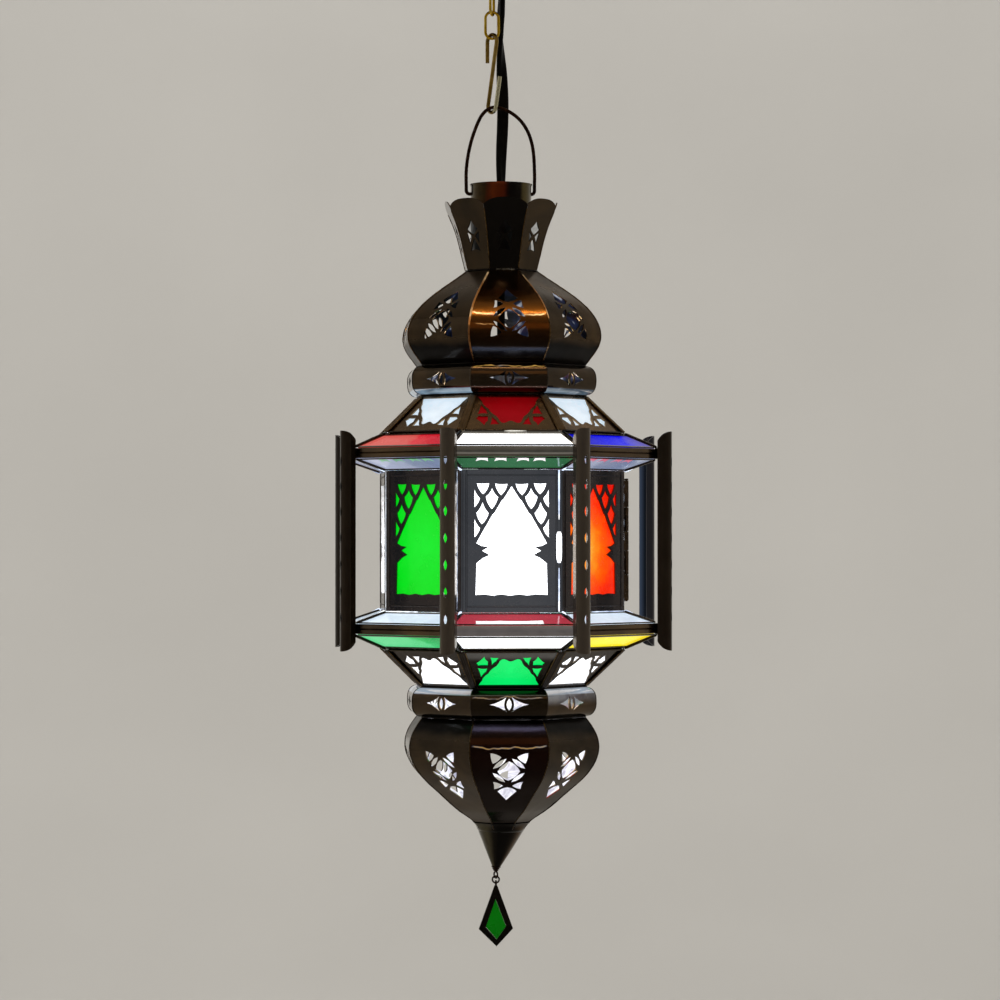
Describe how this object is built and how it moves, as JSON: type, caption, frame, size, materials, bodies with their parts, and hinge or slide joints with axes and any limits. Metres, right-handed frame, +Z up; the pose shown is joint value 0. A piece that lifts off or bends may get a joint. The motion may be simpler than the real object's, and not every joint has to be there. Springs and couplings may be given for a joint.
{
  "type": "hanging lantern",
  "caption": "Octagonal hanging lantern of pierced blackened metal and coloured glass: drum with a side door, corner posts, domed top, pointed base, bail, hook, chain and ceiling canopy.",
  "frame": {"origin": "centre of the ceiling plate's upper face, where it lies against the ceiling", "axes": "+Z up, along the lantern's axis; -Y faces the viewer; the door is in the wall on the +X side"},
  "size_m": [0.2136, 0.2136, 0.6645],
  "materials": {
    "dark_bronze": "blackened, hand-worked sheet with bright worn edges",
    "black_wire": "blackened steel wire",
    "aged_brass": "aged, tarnished",
    "zinc_steel": "zinc plated",
    "black_flex": "satin flexible sheath",
    "black_rubber": "matt",
    "black_holder": "moulded",
    "cap_metal": "threaded",
    "bulb_glass": "frosted, lit",
    "glass_opal": "frosted white, lit from inside",
    "glass_clear": "hand-made, slightly frosted",
    "glass_red": "coloured, glossy",
    "glass_green": "coloured, glossy",
    "glass_blue": "coloured, glossy",
    "glass_amber": "coloured, glossy",
    "glass_yellow": "coloured, glossy"
  },
  "bodies": {
    "ceiling_mount": {"ceiling_plate": "zinc_steel", "ceiling_canopy": "dark_bronze", "ceiling_hook": "black_wire"},
    "chain_upper": {"chain_link_upper": "aged_brass"},
    "chain_lower": {"chain_link_lower": "aged_brass"},
    "s_hook": {"s_hook": "aged_brass"},
    "bail": {"bail": "black_wire", "supply_cable": "black_flex"},
    "lantern": {"bulb": "bulb_glass", "bulb_cap": "cap_metal", "cable_grommet": "black_rubber", "crown_petals": "dark_bronze", "dome_gores": "dark_bronze", "door_frame": "dark_bronze", "door_hinge_pin": "black_wire", "holder_nipple": "zinc_steel", "lamp_bracket": "zinc_steel", "lamp_holder": "black_holder", "lamp_lead": "black_flex", "lower_eave_frames": "dark_bronze", "lower_eave_glass_clear": "glass_clear", "lower_eave_glass_green": "glass_green", "lower_eave_glass_yellow": "glass_yellow", "lower_rim": "dark_bronze", "lower_ring": "dark_bronze", "neck_collar": "dark_bronze", "neck_plate": "dark_bronze", "neck_tube": "dark_bronze", "onion_gores": "dark_bronze", "posts": "dark_bronze", "roof_glass_clear": "glass_clear", "roof_glass_red": "glass_red", "roof_panels": "dark_bronze", "sill_frames": "dark_bronze", "sill_glass_clear": "glass_clear", "sill_glass_red": "glass_red", "skirt_glass_clear": "glass_clear", "skirt_glass_green": "glass_green", "skirt_panels": "dark_bronze", "soffit_frames": "dark_bronze", "soffit_glass_clear": "glass_clear", "soffit_glass_green": "glass_green", "tip_cone": "dark_bronze", "tip_eye": "black_wire", "upper_eave_frames": "dark_bronze", "upper_eave_glass_blue": "glass_blue", "upper_eave_glass_clear": "glass_clear", "upper_eave_glass_red": "glass_red", "upper_rim": "dark_bronze", "upper_ring": "dark_bronze", "wall_glass_amber": "glass_amber", "wall_glass_green": "glass_green", "wall_glass_opal": "glass_opal", "wall_panels": "dark_bronze"},
    "door": {"door_panel": "dark_bronze", "door_glass": "glass_opal", "door_pull": "aged_brass"},
    "pendant_ring": {"pendant_ring": "black_wire"},
    "pendant": {"pendant_frame": "dark_bronze", "pendant_glass": "glass_green"}
  },
  "joints": [
    {"name": "chain_upper_swing", "type": "hinge", "parent": "ceiling_mount", "child": "chain_upper", "pos_m": [-0.0059, 0, -0.0404], "axis": [1, 0, 0], "range_deg": [-10, 10], "deforming": ["supply_cable"]},
    {"name": "chain_lower_swing", "type": "hinge", "parent": "chain_upper", "child": "chain_lower", "pos_m": [-0.0059, 0, -0.05555], "axis": [0.342, 0.9397, 0], "range_deg": [-10, 10], "deforming": ["supply_cable"]},
    {"name": "s_hook_swing", "type": "hinge", "parent": "chain_lower", "child": "s_hook", "pos_m": [-0.0059, 0, -0.071], "axis": [1, 0, 0], "range_deg": [-10, 10], "deforming": ["supply_cable"]},
    {"name": "bail_swing", "type": "hinge", "parent": "s_hook", "child": "bail", "pos_m": [-0.0059, 0, -0.1191], "axis": [0.5736, -0.8192, 0], "range_deg": [-12, 12], "deforming": ["supply_cable"]},
    {"name": "lantern_swing", "type": "hinge", "parent": "bail", "child": "lantern", "pos_m": [0, 0, -0.173], "axis": [1, 0, 0], "range_deg": [-12, 12], "deforming": ["supply_cable"]},
    {"name": "door_hinge", "type": "hinge", "parent": "lantern", "child": "door", "pos_m": [0.079, -0.0282, -0.4], "axis": [0, 0, -1], "range_deg": [0, 95]},
    {"name": "pendant_ring_swing", "type": "hinge", "parent": "lantern", "child": "pendant_ring", "pos_m": [-0.0034, 0, -0.61995], "axis": [-0.4695, 0.8829, 0], "range_deg": [-40, 40]},
    {"name": "pendant_swing", "type": "hinge", "parent": "pendant_ring", "child": "pendant", "pos_m": [-0.0034, 0, -0.62315], "axis": [1, 0, 0], "range_deg": [-40, 40]}
  ]
}
